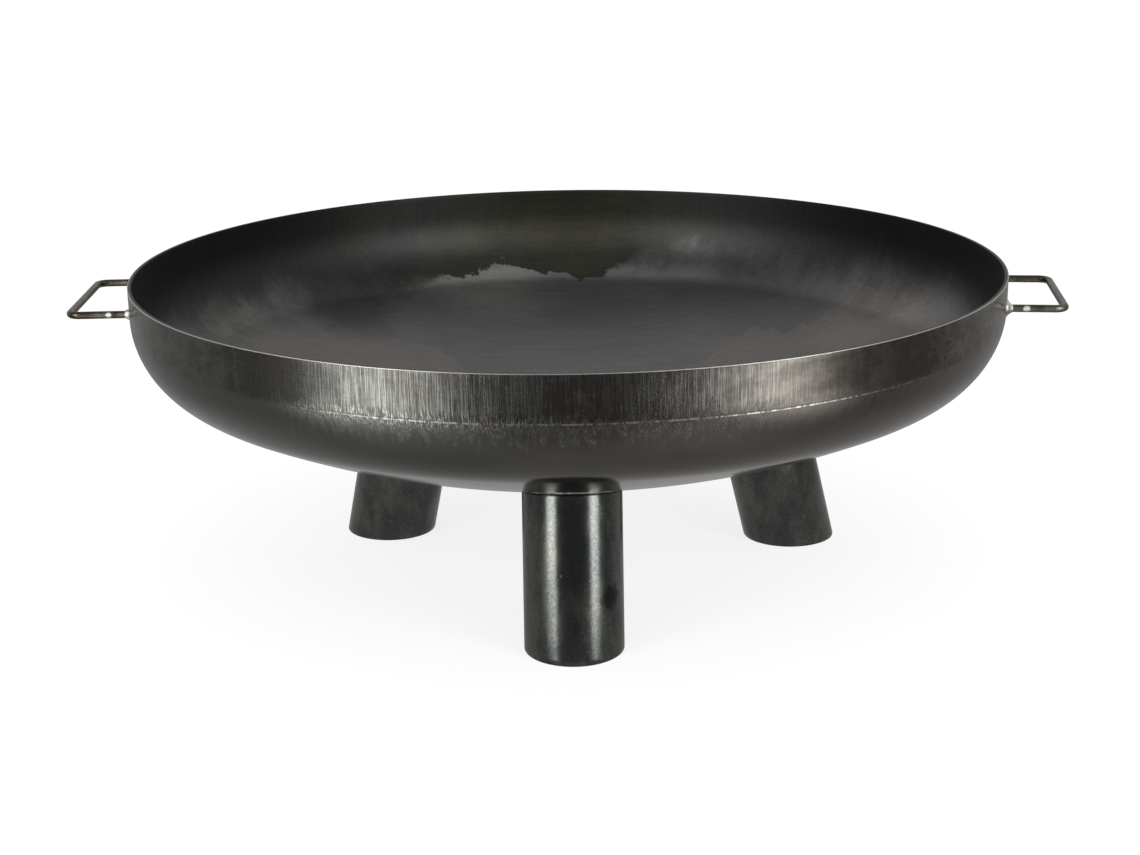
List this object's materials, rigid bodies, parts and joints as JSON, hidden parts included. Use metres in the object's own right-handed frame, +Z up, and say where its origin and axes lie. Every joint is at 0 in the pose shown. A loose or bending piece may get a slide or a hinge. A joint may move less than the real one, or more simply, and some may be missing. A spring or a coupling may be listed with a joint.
{
  "type": "round open hearth bowl on three legs",
  "caption": "Dished round steel hearth bowl on tube legs, with a bent bar handle at each side.",
  "frame": {"origin": "on the floor, under the middle of the bowl", "axes": "+Z up along the bowl's axis, +X towards the right handle, -Y towards the front leg"},
  "size_m": [0.7926, 0.7, 0.2575],
  "materials": {
    "bowl_steel": "raw hot-rolled steel, dark mill scale with vertical drawing marks under the rim",
    "leg_tube": "raw steel tube, dark smooth oiled mill scale",
    "handle_bar": "raw round bar, dark satin scale",
    "weld_bead": "bright brushed weld bead"
  },
  "bodies": {
    "root": {"bowl": "bowl_steel", "front_leg": "leg_tube", "rear_left_leg": "leg_tube", "rear_right_leg": "leg_tube", "left_handle": "handle_bar", "right_handle": "handle_bar", "front_leg_weld": "weld_bead", "rear_left_leg_weld": "weld_bead", "rear_right_leg_weld": "weld_bead", "left_handle_rear_weld": "weld_bead", "left_handle_front_weld": "weld_bead", "right_handle_rear_weld": "weld_bead", "right_handle_front_weld": "weld_bead"}
  },
  "joints": []
}
